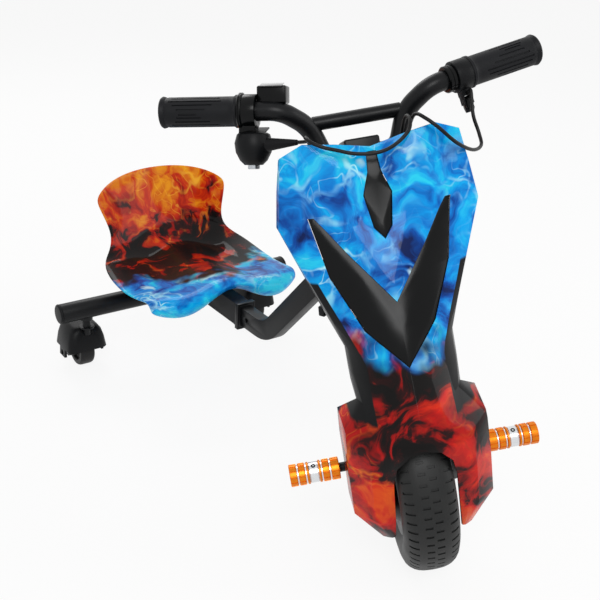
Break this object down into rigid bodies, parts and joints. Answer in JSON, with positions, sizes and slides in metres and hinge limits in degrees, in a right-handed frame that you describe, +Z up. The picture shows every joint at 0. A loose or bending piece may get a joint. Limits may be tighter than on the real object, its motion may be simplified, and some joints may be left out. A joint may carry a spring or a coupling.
{
  "type": "electric tricycle",
  "caption": "Low electric drift tricycle with a moulded front fairing, hub motor wheel, sliding beam, bucket seat and rear casters.",
  "frame": {"origin": "middle of the underside of the whole object, on the floor", "axes": "-Y to the front of the frame, +X to the rider's left, +Z up; the front wheel is shown steered to one side"},
  "size_m": [0.459, 0.8832, 0.6484],
  "materials": {
    "black_steel": "satin black powder coat",
    "black_plastic": "fine matt moulded black",
    "black_gloss": "gloss black",
    "printed_shell": "gloss water and flame print on moulded plastic",
    "printed_seat": "gloss flame print on moulded plastic",
    "tyre": "matt tyre rubber",
    "grip_rubber": "soft matt grip",
    "caster_wheel": "hard smooth wheel",
    "plain_steel": "zinc plated",
    "orange_alloy": "turned alloy, orange rings on bright metal",
    "grey_case": "plain shrink-wrapped case"
  },
  "bodies": {
    "front_frame": {"inner_beam": "black_steel", "head_tube": "black_steel", "lower_cup": "black_steel", "upper_cup": "black_steel"},
    "rear_frame": {"outer_beam": "black_steel", "beam_collar": "black_steel", "clamp_bolt": "plain_steel", "cross_tube": "black_steel", "end_cap_left": "black_plastic", "end_cap_right": "black_plastic", "caster_bush_left": "plain_steel", "caster_bush_right": "plain_steel", "seat_bracket": "black_steel", "seat_bolt": "plain_steel", "seat_shell": "printed_seat"},
    "caster_left": {"caster_stem_left": "plain_steel", "caster_hood_left": "black_plastic", "caster_pin_left": "plain_steel"},
    "caster_right": {"caster_stem_right": "plain_steel", "caster_hood_right": "black_plastic", "caster_pin_right": "plain_steel"},
    "roller_left": {"caster_wheel_left": "caster_wheel"},
    "roller_right": {"caster_wheel_right": "caster_wheel"},
    "steering": {"steerer_tube": "plain_steel", "fork_crown": "black_steel", "fork_leg_left": "black_steel", "fork_leg_right": "black_steel", "front_axle": "plain_steel", "axle_nut_left": "plain_steel", "axle_nut_right": "plain_steel", "foot_peg_left": "orange_alloy", "foot_peg_right": "orange_alloy", "peg_bolt_left": "plain_steel", "peg_bolt_right": "plain_steel", "stem_clamp": "black_steel", "handlebar": "black_steel", "cross_bar": "black_steel", "left_grip": "grip_rubber", "throttle_housing": "black_plastic", "display_box": "black_plastic", "key_body": "black_plastic", "switch_pod": "black_plastic", "fairing_shell": "printed_shell", "v_panel": "black_gloss", "centre_panel": "black_plastic", "neck_cover_left": "black_plastic", "neck_cover_right": "black_plastic", "fairing_bracket": "black_steel", "battery_tray": "black_steel", "controller": "grey_case", "battery_pack": "grey_case", "throttle_cable": "grip_rubber", "switch_cable": "grip_rubber", "tail_lead": "grip_rubber", "tail_connector": "black_plastic"},
    "front_wheel": {"front_tyre": "tyre", "hub_motor": "black_steel"},
    "throttle": {"throttle_grip": "grip_rubber"},
    "key": {"key_barrel": "plain_steel"},
    "mode": {"mode_rocker": "black_plastic"}
  },
  "joints": [
    {"name": "frame_length", "type": "slide", "parent": "front_frame", "child": "rear_frame", "axis": [0, 1, 0], "range_m": [-0.03, 0.06]},
    {"name": "steering_turn", "type": "hinge", "parent": "front_frame", "child": "steering", "pos_m": [0, -0.17685, 0.41069], "axis": [0, 0.3665, 0.9304], "range_deg": [-29, 91]},
    {"name": "front_wheel_spin", "type": "hinge", "parent": "steering", "child": "front_wheel", "pos_m": [-0.01831, -0.32046, 0.12926], "axis": [0.8572, -0.4792, 0.1888], "continuous": true},
    {"name": "caster_left_swivel", "type": "hinge", "parent": "rear_frame", "child": "caster_left", "pos_m": [0.179, 0.35037, 0.082], "axis": [0, 0, 1], "continuous": true},
    {"name": "caster_right_swivel", "type": "hinge", "parent": "rear_frame", "child": "caster_right", "pos_m": [-0.179, 0.35037, 0.082], "axis": [0, 0, 1], "continuous": true},
    {"name": "roller_left_spin", "type": "hinge", "parent": "caster_left", "child": "roller_left", "pos_m": [0.179, 0.37888, 0.03], "axis": [1, 0, 0], "continuous": true},
    {"name": "roller_right_spin", "type": "hinge", "parent": "caster_right", "child": "roller_right", "pos_m": [-0.179, 0.37888, 0.03], "axis": [1, 0, 0], "continuous": true},
    {"name": "throttle_twist", "type": "hinge", "parent": "steering", "child": "throttle", "pos_m": [-0.17916, -0.05008, 0.54924], "axis": [-0.6965, 0.7101, -0.1029], "range_deg": [0, 70], "stiffness_Nm_per_rad": 0.12},
    {"name": "key_turn", "type": "hinge", "parent": "steering", "child": "key", "pos_m": [-0.1405, -0.11356, 0.49382], "axis": [0.1162, 0.2531, 0.9604], "range_deg": [0, 90]},
    {"name": "mode_rock", "type": "hinge", "parent": "steering", "child": "mode", "pos_m": [0.09262, -0.23147, 0.57543], "axis": [0.9437, -0.2068, 0.2583], "range_deg": [-12, 12]}
  ]
}
